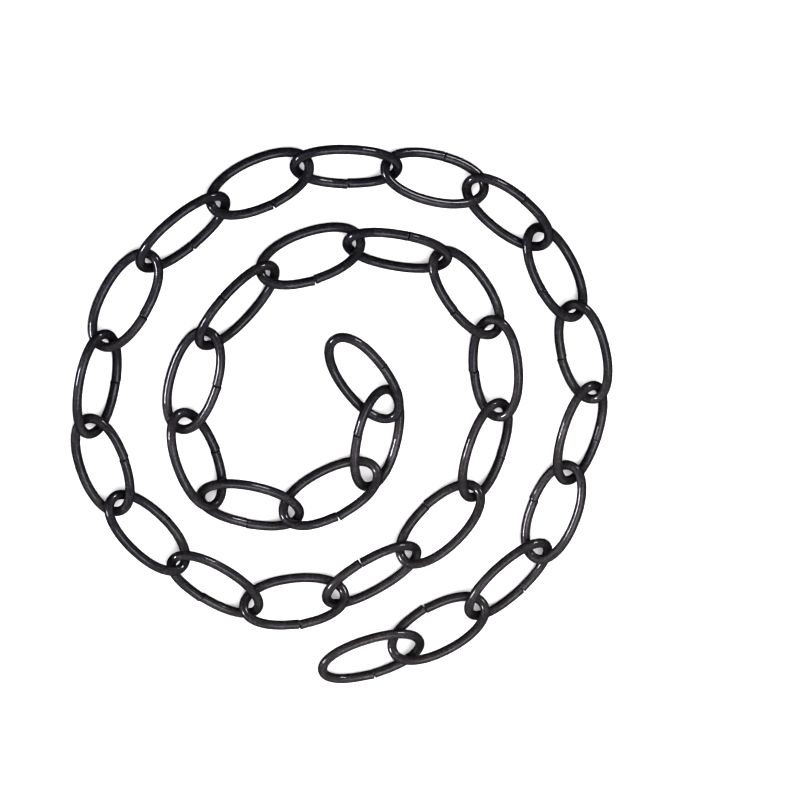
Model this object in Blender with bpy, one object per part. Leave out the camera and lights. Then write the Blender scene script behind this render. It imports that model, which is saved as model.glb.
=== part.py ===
"""Heap of lamp chain: one length of open oval-link steel chain, laid in a flat coil.

Each link is a piece of round wire bent to an oval, whose two cut ends meet in a butt joint at the middle of
one long side. The links lie rolled one way and the other in turn: links with an odd number pass over their
neighbours on the outside of the coil, and links with an even number pass over them on the inside.
Metres, +Z up. The origin is on the floor, under the middle of the coil.
"""
import math

import bpy
import numpy as np
from mathutils import Euler, Vector

# The link
LINK_LENGTH = 0.040
LINK_WIDTH = 0.020
WIRE = 0.0033
BUTT_GAP = 0.0005
BENDS = 24                # straight lengths that make up the oval
WIRE_SIDES = 8

# How the links lie on each other
TOUCH = 0.0003            # clearance where the wires touch in the real chain
FLATTEST_ROLL = math.radians(10)
ROLL_STEP = math.radians(0.25)
MOST_ROLL = math.radians(40)

# Where each link hooks the next, in whole millimetres, from the free tip at the inner end of the coil
HOOKS_MM = [
    (0, 26), (15, 5), (11, -19), (-18, -34), (-46, -26), (-57, 2), (-49, 32), (-28, 56), (2, 66), (33, 59),
    (53, 33), (56, 3), (48, -28), (25, -51), (0, -65), (-31, -68), (-57, -50), (-80, -27), (-89, 1), (-85, 33),
    (-70, 61), (-46, 81), (-17, 94), (14, 92), (46, 84), (67, 66), (82, 39), (90, 7), (83, -22), (73, -52),
    (52, -72), (23, -87), (4, -92),
]
# The long side that holds each link's butt joint: o on the outside of the coil, i on the inside
JOINT_SIDES = "oiooiioioiioiiooiiiiiiiooiioioio"
OUTSIDE, INSIDE = 1, -1

CHARCOAL = (0.022, 0.020, 0.022, 1.0)
PAINT_ROUGHNESS = 0.42

# An oval of straight lengths and a wire of flat sides lie just outside the round ones
OVAL_STRETCH = 1 / math.cos(math.pi / BENDS)
WIRE_STRETCH = 1 / math.cos(math.pi / WIRE_SIDES)


class Link:
    """Where one link lies: its middle, the way the chain runs through it, and its roll."""

    def __init__(self, number, hook_in, hook_out):
        self.name = f"link_{number:02d}"
        self.middle = (hook_in + hook_out) / 2
        self.heading = math.atan2(*(hook_out - hook_in).yx)
        self.over_on = OUTSIDE if number % 2 else INSIDE
        self.joint_side = OUTSIDE if JOINT_SIDES[number - 1] == "o" else INSIDE
        self.roll = FLATTEST_ROLL

    def height(self):
        """The middle's height with the lower side of the link on the floor."""
        return WIRE / 2 + math.sin(self.roll) * (LINK_WIDTH - WIRE) / 2

    def turn(self):
        """The link's turn from lying flat along +X."""
        return Euler((self.over_on * self.roll, 0, self.heading))

    def place(self, outline):
        """World points of an outline that is given along and across the link."""
        flat = np.column_stack([*outline, np.zeros(len(outline[0]))])
        return flat @ np.array(self.turn().to_matrix()).T + (*self.middle, self.height())

    def wire_corners(self):
        """The corners of the wire's centreline, from one lip of the butt joint round to the other."""
        corners = 2 * math.pi / BENDS * (np.arange(BENDS) + 0.5)
        along, across = oval(self.joint_side * math.pi / 2 + corners, OVAL_STRETCH)
        lip = self.joint_side * BUTT_GAP / 2
        along = np.concatenate([[-lip], along, [lip]])
        across = np.concatenate([across[:1], across, across[-1:]])
        return along, across


def oval(angles, stretch=1.0):
    """Distances along and across a link; 90 degrees is the middle of its outer side."""
    half_length = stretch * (LINK_LENGTH - WIRE) / 2
    half_width = stretch * (LINK_WIDTH - WIRE) / 2
    return half_length * np.cos(angles), half_width * np.sin(angles)


def lay_links():
    """The links, each laid from one hook to the next."""
    hooks = [Vector(hook) / 1000 for hook in HOOKS_MM]
    return [Link(number, *pair) for number, pair in enumerate(zip(hooks, hooks[1:]), start=1)]


def crossing_distance(pair, side):
    """The distance between two neighbours' centrelines where they cross, on one side of the chain."""
    around = oval(side * np.linspace(0, math.pi, 91))
    one, other = (link.place(around) for link in pair)
    return np.linalg.norm(one[:, None] - other[None, :], axis=2).min()


def settle(links):
    """Rolls each link up, a little at a time, until it clears the neighbours that it passes over."""
    crossings = [(pair, side) for pair in zip(links, links[1:]) for side in (OUTSIDE, INSIDE)]
    for _ in range(round((MOST_ROLL - FLATTEST_ROLL) / ROLL_STEP)):
        for pair, side in crossings:
            if crossing_distance(pair, side) < WIRE + TOUCH:
                upper = next(link for link in pair if link.over_on == side)
                upper.roll += ROLL_STEP


def centre(links):
    """Moves the coil so that its outline is centred on the origin."""
    outline = np.concatenate([link.place(link.wire_corners()) for link in links])
    middle = (outline.min(axis=0) + outline.max(axis=0)) / 2
    for link in links:
        link.middle -= Vector(middle[:2])


def make_material():
    material = bpy.data.materials.new("charcoal_paint")
    material.use_nodes = True
    shader = material.node_tree.nodes["Principled BSDF"]
    shader.inputs["Base Color"].default_value = CHARCOAL
    shader.inputs["Roughness"].default_value = PAINT_ROUGHNESS
    shader.inputs["Metallic"].default_value = 0.0
    return material


def make_link(link, collection, material):
    """One link: a wire with flat ends, tilted so that one of its flat sides lies on the floor."""
    curve = bpy.data.curves.new(link.name, "CURVE")
    curve.dimensions = "3D"
    curve.twist_mode = "Z_UP"
    curve.bevel_depth = WIRE_STRETCH * WIRE / 2
    curve.bevel_resolution = WIRE_SIDES // 4
    curve.use_fill_caps = True
    curve.materials.append(material)
    corners = list(zip(*link.wire_corners()))
    spline = curve.splines.new("POLY")
    spline.points.add(len(corners) - 1)
    for point, corner in zip(spline.points, corners):
        point.co = (*corner, 0, 1)
        point.tilt = math.pi / WIRE_SIDES - link.roll
    wire = bpy.data.objects.new(link.name, curve)
    wire.location = (*link.middle, link.height())
    wire.rotation_euler = link.turn()
    collection.objects.link(wire)


def main():
    for existing in list(bpy.data.objects):
        bpy.data.objects.remove(existing, do_unlink=True)
    collection = bpy.data.collections.new("heap_of_lamp_chain")
    bpy.context.scene.collection.children.link(collection)
    material = make_material()
    links = lay_links()
    settle(links)
    centre(links)
    for link in links:
        make_link(link, collection, material)


main()
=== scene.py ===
"""The looks of a coil of lamp chain: bent wire links in charcoal paint, on a pale floor in soft light."""
import math
import random
from typing import NamedTuple

import bpy
import numpy as np
from mathutils import Matrix, Vector

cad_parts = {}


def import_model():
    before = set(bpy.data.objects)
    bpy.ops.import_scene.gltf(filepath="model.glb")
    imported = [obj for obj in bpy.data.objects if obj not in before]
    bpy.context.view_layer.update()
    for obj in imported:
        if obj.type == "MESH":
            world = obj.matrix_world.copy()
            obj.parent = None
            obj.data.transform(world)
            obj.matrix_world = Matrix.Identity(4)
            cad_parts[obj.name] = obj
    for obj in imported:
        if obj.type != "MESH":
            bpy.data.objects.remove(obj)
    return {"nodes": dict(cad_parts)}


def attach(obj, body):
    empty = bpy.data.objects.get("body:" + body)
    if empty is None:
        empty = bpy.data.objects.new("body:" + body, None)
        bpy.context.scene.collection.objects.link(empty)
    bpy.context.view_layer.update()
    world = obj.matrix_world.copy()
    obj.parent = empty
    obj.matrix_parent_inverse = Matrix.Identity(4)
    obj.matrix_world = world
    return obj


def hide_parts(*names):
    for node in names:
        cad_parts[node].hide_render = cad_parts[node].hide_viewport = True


MM = 0.001

# Camera, as it stands over the coil
CAMERA_AZIMUTH = math.radians(122.9)
CAMERA_ELEVATION = math.radians(67.9)
CAMERA_TWIST = math.radians(147.1)
CAMERA_DISTANCE = 1.62
CAMERA_AIM = Vector((0.0214, 0.0045, 0.0))
CAMERA_FIELD = math.radians(9.95)

# Wire, as it is cut before it is bent
WIRE = 3.4 * MM
WIRE_LENGTH = 87.5 * MM
WIRE_SIDES = 28
WIRE_RINGS = 110
RIM_ROUNDING = 0.22 * MM
RIM_STEPS = 3
SHEAR_BAND = 0.45 * MM                  # width of the ring that the cutter leaves round a cut face
SHEAR_DEPTH = 0.07 * MM
PINCH = 1.035                           # how much the cutter spreads the last of the wire
PINCH_REACH = 1.6 * MM
PINCH_RINGS = (0.4 * MM, 0.8 * MM)      # distances from the cut at which the wire has rings for its spread
CUT_LEAN = math.radians(6)
LEANS_FROM = Vector((-0.5, 0.9, 0.0))   # side of the coil that the tops of the cuts lean away from
SMOOTH_BELOW = math.radians(35)

# Oval that the wire is bent to
LINK_LENGTH = 39.8 * MM
LINK_WIDTH = 20 * MM
HALF_LENGTH = (LINK_LENGTH - WIRE) / 2
HALF_WIDTH = (LINK_WIDTH - WIRE) / 2
OVAL_POWER = 2.12                       # 2 would be an ellipse
PATH_POINTS = 240
CLOSED_RUN = (2.2 * MM, 3.8 * MM)       # run of wire beside a joint that stays straight
OPEN_RUN = (3.8 * MM, 5.2 * MM)
STRAIGHT_POINTS = 12
RIDGE_DROP = 0.06 * MM
SPRING_ACROSS = 0.35 * MM               # most that the two ends spring apart
SPRING_UP = 0.15 * MM                   # most that one of them rises
SPRING_REACH = 20 * MM
UNEVENNESS = 0.0018                     # share by which each wave round a link swells and shrinks its outline
FIRST_SEED = 3100

# Joint of each link: its long side (o outside of the coil, i inside), its place along it, and how it closes
JOINT_SIDES = "oiooiioioiioiiooiiiiiiiooiioioio"
JOINT_AT_MM = (
    -1, -1, 1.5, -1.5, -1, 1, -0.5, -1.5, 1, 1, 1.5, 2, -1, 1.5, -0.5, 0,
    -2.5, 1, 0.5, -1.5, -1, 1, 2, 2, -0.5, 1.5, 1.5, 2, -1.5, -1, 1, 0.5)
OPEN_JOINTS = (3, 8, 13, 14, 15, 22, 31, 32)
CLOSED_GAP = (0.20 * MM, 0.32 * MM)
OPEN_GAP = (0.32 * MM, 0.40 * MM)
OUTSIDE, INSIDE = 1, -1

# Paint
PAINT_PLUM = (0.018, 0.017, 0.024, 1)
PAINT_BROWN = (0.052, 0.047, 0.048, 1)
PAINT_PALE = (0.13, 0.123, 0.127, 1)
PAINTED_LIGHT_SIDE = (0.5, -1.6, 0.0)           # way in which the paint turns lighter and browner across the coil, by its share for each metre: painted light
PAINT_RELIEF = 0.30 * MM
PATTERN_STEP = 1.25 * WIRE_LENGTH       # how far along the paint's patterns each link starts after the last

# Floor, room and light
FLOOR_SIZE = 6.0
FLOOR_COOL = (0.88, 0.88, 0.89, 1)
FLOOR_WARM = (0.91, 0.905, 0.90, 1)
ROOM_DARK = (0.004, 0.004, 0.005, 1)
ROOM_LIGHT = (0.19, 0.18, 0.195, 1)
ROOM_LIGHT_SIDE = (0.30, -0.75, 0.55)
UPWARDS = (0.0, 0.0, 1.0)
BACKDROP = (0.90, 0.91, 0.92, 1)
LAMPLIGHT = (0.94, 0.905, 1.0)
DAYLIGHT = (1.0, 1.0, 1.0)

# Each light's name, azimuth and elevation, distance, width and height, power, colour, and what it lights
ALL, GLOSS, MATT = "all", "gloss", "matt"
LIGHTS = (
    ("ceiling", 297, 73, 1.8, (0.85, 0.85), 5.4, LAMPLIGHT, ALL),
    ("near_wall", 275, 25, 2.2, (2.6, 1.4), 3.0, LAMPLIGHT, ALL),
    ("left_lamp", 181.7, 27, 2.4, (0.60, 0.26), 33.0, LAMPLIGHT, GLOSS),
    ("right_lamp", 56, 32, 2.4, (0.50, 0.20), 12.5, LAMPLIGHT, GLOSS),
    ("sky", 0, 89.9, 2.2, (4.2, 4.2), 265.0, DAYLIGHT, MATT),
)


# Modelling helpers

def deselect_all():
    if bpy.context.object and bpy.context.object.mode != "OBJECT":
        bpy.ops.object.mode_set(mode="OBJECT")
    bpy.ops.object.select_all(action="DESELECT")


def work_on(piece):
    """Makes a piece the only selected one, and the active one."""
    deselect_all()
    piece.select_set(True)
    bpy.context.view_layer.objects.active = piece


def select_faces(piece, wanted):
    """In edit mode, selects only the faces whose centre and normal are wanted."""
    bpy.ops.mesh.select_mode(type="FACE")
    bpy.ops.mesh.select_all(action="DESELECT")
    bpy.ops.object.mode_set(mode="OBJECT")
    for face in piece.data.polygons:
        face.select = wanted(face.center, face.normal)
    bpy.ops.object.mode_set(mode="EDIT")


def select_edges(piece, wanted):
    """In edit mode, selects only the edges whose two ends are wanted."""
    bpy.ops.mesh.select_mode(type="EDGE")
    bpy.ops.mesh.select_all(action="DESELECT")
    bpy.ops.object.mode_set(mode="OBJECT")
    places = [corner.co for corner in piece.data.vertices]
    for edge in piece.data.edges:
        edge.select = wanted(*(places[index] for index in edge.vertices))
    bpy.ops.object.mode_set(mode="EDIT")


def apply_modifier(piece, kind, **settings):
    work_on(piece)
    modifier = piece.modifiers.new(kind.lower(), kind)
    for name, value in settings.items():
        setattr(modifier, name, value)
    bpy.ops.object.modifier_apply(modifier=modifier.name)


def towards(azimuth, elevation):
    """The direction from the coil's middle to a place at an azimuth and an elevation."""
    level = math.cos(elevation)
    return Vector((level * math.cos(azimuth), level * math.sin(azimuth), math.sin(elevation)))


# Straight wire

def is_cut_face(normal):
    """Whether a face of the straight wire looks along it, as only the faces at its two ends do."""
    return abs(normal.x) > 0.9


def cut_wire(length):
    """A straight length of wire along X, with spread ends, leaning cut faces and rounded rims."""
    deselect_all()
    bpy.ops.mesh.primitive_cylinder_add(
        vertices=WIRE_SIDES, radius=WIRE / 2, depth=length, rotation=(0, math.pi / 2, 0))
    wire = bpy.context.object
    bpy.ops.object.transform_apply(location=False, rotation=True, scale=False)
    bpy.ops.object.mode_set(mode="EDIT")
    select_edges(wire, lambda one, other: abs(one.x - other.x) > length / 2)
    bpy.ops.mesh.subdivide(number_cuts=WIRE_RINGS)
    for end in (-1, 1):
        for ring in PINCH_RINGS:
            bpy.ops.mesh.select_all(action="SELECT")
            bpy.ops.mesh.bisect(plane_co=(end * (length / 2 - ring), 0, 0), plane_no=(1, 0, 0))
    fading = {
        "use_proportional_edit": True,
        "proportional_edit_falloff": "SMOOTH",
        "proportional_size": PINCH_REACH,
    }
    for end in (-1, 1):
        cut = (end * length / 2, 0, 0)
        select_faces(wire, lambda centre, normal: is_cut_face(normal) and centre.x * end > 0)
        bpy.ops.transform.resize(value=(1, PINCH, PINCH), center_override=cut, **fading)
        bpy.ops.transform.rotate(value=CUT_LEAN, orient_axis="Y", center_override=cut, **fading)
    select_faces(wire, lambda centre, normal: is_cut_face(normal))
    bpy.ops.mesh.bevel(offset=RIM_ROUNDING, segments=RIM_STEPS, affect="EDGES")
    # The flat middle of each cut face, inside its rounded rim
    select_faces(wire, lambda centre, normal: is_cut_face(normal) and centre.yz.length < WIRE / 8)
    bpy.ops.mesh.inset(thickness=SHEAR_BAND, use_individual=True)
    bpy.ops.mesh.extrude_faces_move(TRANSFORM_OT_shrink_fatten={"value": -SHEAR_DEPTH})
    bpy.ops.object.mode_set(mode="OBJECT")
    return wire


def mark_wire(wire, number):
    """Keeps each corner's place in the straight wire, so that the paint follows the wire round its bends."""
    places = np.zeros(len(wire.data.vertices) * 3)
    wire.data.vertices.foreach_get("co", places)
    places = places.reshape(-1, 3)
    places[:, 0] += PATTERN_STEP * number
    in_wire = wire.data.attributes.new("in_wire", "FLOAT_VECTOR", "POINT")
    in_wire.data.foreach_set("vector", places.ravel())


# Bent link

class WireEnd(NamedTuple):
    """An end of a bent wire: a straight run between the oval and the joint."""

    heading: int        # way along the link in which the run leads away from the joint
    run: float
    height: float       # distance from the link's middle line, and slope, where the run leaves the oval
    slope: float

    def across(self, reach):
        """How far the run is from the link's middle line, at a distance from the joint."""
        return self.height + self.slope * self.heading * (reach - self.run)


def between(limits, draw):
    return limits[0] + (limits[1] - limits[0]) * draw.random()


def oval_point(angle):
    """A point of the wire's centreline on the plain oval, along and across the link."""
    cosine, sine = math.cos(angle), math.sin(angle)
    along = HALF_LENGTH * math.copysign(abs(cosine) ** (2 / OVAL_POWER), cosine)
    across = HALF_WIDTH * math.copysign(abs(sine) ** (2 / OVAL_POWER), sine)
    return along, across


def oval_side(along):
    """How far the oval's long side is from its middle line at a place along the link, and its slope there."""
    part = abs(along) / HALF_LENGTH
    height = HALF_WIDTH * (1 - part ** OVAL_POWER) ** (1 / OVAL_POWER)
    slope = -HALF_WIDTH / HALF_LENGTH * part ** (OVAL_POWER - 1) * (height / HALF_WIDTH) ** (1 - OVAL_POWER)
    return height, math.copysign(slope, -along)


def bent_path(side, joint_at, is_open, overlap, draw):
    """Points of a bent link's centreline in its own plane, from one lip of its joint round to the other.

    The wire follows the oval, but beside the joint it stays straight, so its two ends meet at a low ridge.
    They have sprung a little apart, across and up. The overlap is how far the lean of a cut face takes its
    rim past its middle.
    """
    gap = between(OPEN_GAP if is_open else CLOSED_GAP, draw)
    runs = [between(OPEN_RUN if is_open else CLOSED_RUN, draw) for _ in range(2)]
    spring = draw.uniform(-1, 1) * SPRING_ACROSS, draw.uniform(-1, 1) * SPRING_UP
    phases = [draw.uniform(0, 2 * math.pi) for _ in range(3)]
    ends = []
    for heading, run in zip((-side, side), runs):
        ends.append(WireEnd(heading, run, *oval_side(joint_at + heading * run)))
    rounds = []
    for part in np.linspace(0, 1, PATH_POINTS):
        along, across = oval_point(side * math.pi / 2 + 2 * math.pi * part)
        if across * side < 0 or not is_beside(along - joint_at, ends):
            rounds.append((along, across, 0.0))
    straights = []
    for end in ends:
        straights.append([
            (joint_at + end.heading * reach, side * end.across(reach), 0.0)
            for reach in np.linspace(gap / 2 - overlap, end.run, STRAIGHT_POINTS)])
    path = straights[0] + rounds + straights[1][::-1]
    return spring_ends(path, side, ends, spring, phases)


def is_beside(reach, ends):
    """Whether a place at a distance along the link from the joint lies in either end's straight run."""
    return any(0 <= reach * end.heading <= end.run for end in ends)


def spring_ends(path, side, ends, spring, phases):
    """Levels the two ends of a path at one ridge, springs them apart, and makes its bends slightly uneven."""
    ridge = (ends[0].across(0) + ends[1].across(0)) / 2 - RIDGE_DROP
    steps = [0.0]
    for one, other in zip(path, path[1:]):
        steps.append(steps[-1] + math.dist(one, other))
    length = steps[-1]
    sprung = []
    for (along, across, up), reach in zip(path, steps):
        for end, way, distance in zip(ends, (-1, 1), (reach, length - reach)):
            fade = max(0.0, 1 - distance / SPRING_REACH) ** 2
            across += side * fade * (ridge - end.across(0) + way * spring[0] / 2)
            up += fade * max(0.0, way * spring[1])
        turn = 2 * math.pi * reach / length
        bow = sum(math.sin((count + 2) * turn + phase) for count, phase in enumerate(phases))
        grow = 1 + UNEVENNESS * bow
        sprung.append((along * grow, across * grow, up))
    return sprung


def make_link(straight, number, place, side, joint_at):
    """One link: a copy of the straight wire, bent round and put where the CAD model has it."""
    draw = random.Random(FIRST_SEED + number)
    overlap = max(corner.co.x for corner in straight.data.vertices) - WIRE_LENGTH / 2
    points = bent_path(side, joint_at, number in OPEN_JOINTS, overlap, draw)
    curve = bpy.data.curves.new("bend", "CURVE")
    curve.dimensions = "3D"
    curve.twist_mode = "Z_UP"
    curve.use_stretch = True
    curve.use_deform_bounds = True
    spline = curve.splines.new("POLY")
    spline.points.add(len(points) - 1)
    for corner, point in zip(spline.points, points):
        corner.co = (*point, 1)
    bend = bpy.data.objects.new("bend", curve)
    bpy.context.collection.objects.link(bend)
    link = straight.copy()
    link.data = straight.data.copy()
    link.name = f"link_{number:02d}_wire"
    bpy.context.collection.objects.link(link)
    if side * LEANS_FROM.dot(place.col[0].xyz) > 0:
        work_on(link)
        link.rotation_euler.x = math.pi
        bpy.ops.object.transform_apply(location=False, rotation=True, scale=False)
    mark_wire(link, number)
    apply_modifier(link, "CURVE", object=bend, deform_axis="POS_X")
    link.matrix_world = place
    bpy.ops.object.transform_apply(location=True, rotation=True, scale=True)
    bpy.data.objects.remove(bend)
    bpy.data.curves.remove(curve)
    rest_on_floor(link)
    bpy.ops.object.shade_smooth_by_angle(angle=SMOOTH_BELOW)
    return link


def rest_on_floor(link):
    """Lifts a link by the little that its bends reach below the floor."""
    lowest = min(corner.co.z for corner in link.data.vertices)
    if lowest < 0:
        link.location.z = -lowest
        bpy.ops.object.transform_apply(location=True, rotation=False, scale=False)


def axes_of(node):
    """The middle of a CAD link, and the directions that it is longest and thinnest in."""
    corners = np.array([node.matrix_world @ corner.co for corner in node.data.vertices])
    # The node is loose triangles, so corners that meet are counted once
    corners = np.unique(corners.round(7), axis=0)
    axes = np.linalg.svd(corners - corners.mean(axis=0))[2]
    spans = corners @ axes.T
    middle = (spans.min(axis=0) + spans.max(axis=0)) / 2 @ axes
    return Vector(middle), Vector(axes[0]), Vector(axes[2])


def link_places(nodes):
    """Each CAD link's name, and a matrix from its frame (along the chain, outwards, up) to the coil's."""
    names = sorted(nodes)
    found = [axes_of(nodes[name]) for name in names]
    places = []
    for number, (middle, along, up) in enumerate(found):
        ahead = found[min(number + 1, len(found) - 1)][0] - found[max(number - 1, 0)][0]
        along = along if along.dot(ahead) > 0 else -along
        up = up if up.z > 0 else -up
        outwards = up.cross(along)
        turned = Matrix((along, outwards, up)).transposed().to_4x4()
        places.append((names[number], Matrix.Translation(middle) @ turned))
    return places


# Materials

class Nodes:
    """The node tree of a material or of the world, which starts with only its output and its shader."""

    def __init__(self, owner):
        owner.use_nodes = True
        self.tree = owner.node_tree
        self.shader = self.tree.nodes.get("Principled BSDF") or self.tree.nodes["Background"]

    def node(self, kind, settings=None, inputs=None, output=0):
        """Adds a node with its settings, fills or links its inputs, and gives back one of its outputs."""
        added = self.tree.nodes.new(kind)
        for name, value in (settings or {}).items():
            setattr(added, name, value)
        for name, value in (inputs or {}).items():
            self.fill(added.inputs[name], value)
        return Socket(self, added.outputs[output])

    def fill(self, socket, value):
        if isinstance(value, Socket):
            self.tree.links.new(value.socket, socket)
        else:
            socket.default_value = value

    def surface(self, **inputs):
        """Fills inputs of the shader, named with underscores for spaces."""
        for name, value in inputs.items():
            self.fill(self.shader.inputs[name.replace("_", " ")], value)

    def math(self, operation, *values):
        return self.node("ShaderNodeMath", {"operation": operation}, dict(enumerate(values)))

    def place(self, attribute=None):
        """The place of a point: an attribute of the piece, or its object coordinates."""
        if attribute:
            return self.node("ShaderNodeAttribute", {"attribute_name": attribute}, output="Vector")
        return self.node("ShaderNodeTexCoord", output="Object")

    def stretch(self, place, scale):
        """A place multiplied by a scale for each direction, in turns a metre."""
        return self.node("ShaderNodeVectorMath", {"operation": "MULTIPLY"}, {0: place, 1: scale})

    def along(self, place, way):
        """How far a place or a direction reaches along a way."""
        return self.node(
            "ShaderNodeVectorMath", {"operation": "DOT_PRODUCT"}, {0: place, 1: way}, output="Value")

    def noise(self, place, scale, detail=2.0, roughness=0.5):
        """Noise from 0 to 1, in patches of about 1/scale metres."""
        return self.node("ShaderNodeTexNoise", None, {
            "Vector": self.stretch(place, scale), "Scale": 1.0, "Detail": detail, "Roughness": roughness})

    def band(self, value, low, high):
        """0 where a value is below low, 1 where it is above high, and smooth between."""
        return self.node("ShaderNodeMapRange", {"interpolation_type": "SMOOTHSTEP"}, {
            "Value": value, "From Min": low, "From Max": high})

    def mix(self, share, low, high):
        """A colour between two."""
        return self.node("ShaderNodeMix", {"data_type": "RGBA"}, {0: share, 6: low, 7: high}, output=2)

    def bump(self, height, distance):
        """A normal from a height between 0 and 1, that stands for a distance."""
        return self.node("ShaderNodeBump", None, {"Height": height, "Distance": distance, "Strength": 1.0})


class Socket:
    """An output of a node, with which sums are written as they are with numbers."""

    def __init__(self, nodes, socket):
        self.nodes = nodes
        self.socket = socket

    def __add__(self, other):
        return self.nodes.math("ADD", self, other)

    def __mul__(self, other):
        return self.nodes.math("MULTIPLY", self, other)

    __radd__ = __add__
    __rmul__ = __mul__


def charcoal_paint():
    """Charcoal paint over drawn steel wire: lengthwise streaks, a fine mottle, paler specks, and painted
    light that turns one side of the coil lighter and browner.
    """
    material = bpy.data.materials.new("charcoal paint")
    paint = Nodes(material)
    in_wire = paint.place("in_wire")
    in_coil = paint.place()
    tone = paint.noise(in_coil, (40, 40, 40), detail=3)
    mottle = paint.noise(in_wire, (260, 420, 420), detail=3)
    specks = paint.noise(in_wire, (1100, 1300, 1300), detail=2, roughness=0.6)
    ridges = paint.noise(in_wire, (25, 750, 750), detail=1)
    streaks = paint.noise(in_wire, (60, 1500, 1500), detail=3, roughness=0.6)
    grain = paint.noise(in_wire, (2600, 2600, 2600), detail=2)
    # The brown share is a random tone plus painted light, which makes one side of the coil lighter and
    # browner; the pale specks grow with it
    brown = paint.band(tone * 0.6 + streaks * 0.4 + paint.along(in_coil, PAINTED_LIGHT_SIDE), 0.32, 0.68)
    pale = paint.band(0.4 * mottle + 0.6 * specks, 0.46, 0.66) * (0.30 + 0.35 * brown)
    height = 0.9 * ridges + 0.45 * streaks + 0.25 * grain + 0.4 * mottle + 0.35 * specks
    paint.surface(
        Base_Color=paint.mix(pale, paint.mix(brown, PAINT_PLUM, PAINT_BROWN), PAINT_PALE),
        Roughness=0.36 + 0.16 * mottle + 0.10 * streaks, Metallic=0.95, Specular_IOR_Level=0.4,
        Coat_Weight=0.5 + 0.5 * paint.band(0.5 * mottle + 0.5 * specks + 0.3 * streaks, 0.45, 0.80),
        Coat_Roughness=0.05, Coat_IOR=1.65, Normal=paint.bump(height, PAINT_RELIEF))
    return material


def studio_floor():
    """A pale, smooth studio floor with a faint unevenness."""
    material = bpy.data.materials.new("studio floor")
    floor = Nodes(material)
    place = floor.place()
    cloud = floor.noise(place, (6, 6, 6), detail=3)
    grain = floor.noise(place, (900, 900, 900), detail=2)
    floor.surface(
        Base_Color=floor.mix(cloud * 0.7 + grain * 0.3, FLOOR_COOL, FLOOR_WARM),
        Roughness=0.75 + 0.1 * cloud, Specular_IOR_Level=0.2)
    return material


# Studio

def make_floor():
    deselect_all()
    bpy.ops.mesh.primitive_plane_add(size=FLOOR_SIZE, location=(0, 0, 0))
    floor = bpy.context.object
    floor.name = "studio_floor"
    floor.data.materials.append(studio_floor())
    floor.visible_glossy = False


def add_light(name, azimuth, elevation, distance, size, power, colour, lights_what):
    """An area light that looks at the coil's middle from an azimuth and an elevation."""
    light = bpy.data.lights.new(name, "AREA")
    light.shape = "RECTANGLE"
    light.size, light.size_y = size
    light.energy = power
    light.color = colour
    lamp = bpy.data.objects.new(name, light)
    bpy.context.collection.objects.link(lamp)
    away = towards(math.radians(azimuth), math.radians(elevation))
    lamp.location = away * distance
    lamp.rotation_euler = away.to_track_quat("Z", "Y").to_euler()
    lamp.visible_diffuse = lights_what != GLOSS
    lamp.visible_glossy = lights_what != MATT


def make_world():
    """A room that is lighter on one side, behind a plain pale backdrop."""
    world = bpy.data.worlds.new("room")
    room = Nodes(world)
    view = room.node("ShaderNodeTexCoord", output="Generated")
    lit_side = room.band(room.along(view, ROOM_LIGHT_SIDE), -0.6, 0.9)
    above_floor = room.band(room.along(view, UPWARDS), -0.35, 0.35)
    walls = room.mix(lit_side * above_floor, ROOM_DARK, ROOM_LIGHT)
    seen = room.node("ShaderNodeLightPath", output="Is Camera Ray")
    room.surface(Color=room.mix(seen, walls, BACKDROP))
    bpy.context.scene.world = world


def make_camera():
    """The camera where the photograph's stood."""
    camera = bpy.data.cameras.new("camera")
    camera.angle = CAMERA_FIELD
    camera.clip_start = 0.1
    stand = bpy.data.objects.new("camera", camera)
    bpy.context.collection.objects.link(stand)
    turn = (
        Matrix.Rotation(CAMERA_AZIMUTH + math.pi / 2, 4, "Z")
        @ Matrix.Rotation(math.pi / 2 - CAMERA_ELEVATION, 4, "X") @ Matrix.Rotation(CAMERA_TWIST, 4, "Z"))
    away = CAMERA_DISTANCE * towards(CAMERA_AZIMUTH, CAMERA_ELEVATION)
    stand.matrix_world = Matrix.Translation(CAMERA_AIM + away) @ turn
    bpy.context.scene.camera = stand


def main():
    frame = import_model()
    bpy.context.scene.view_settings.view_transform = "Standard"
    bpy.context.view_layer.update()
    places = link_places(frame["nodes"])
    paint = charcoal_paint()
    straight = cut_wire(WIRE_LENGTH)
    straight.data.materials.append(paint)
    for index, (name, place) in enumerate(places):
        side = OUTSIDE if JOINT_SIDES[index] == "o" else INSIDE
        link = make_link(straight, index + 1, place, side, JOINT_AT_MM[index] * MM)
        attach(link, "root")
        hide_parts(name)
    bpy.data.objects.remove(straight)
    make_floor()
    make_world()
    for light in LIGHTS:
        add_light(*light)
    make_camera()


main()
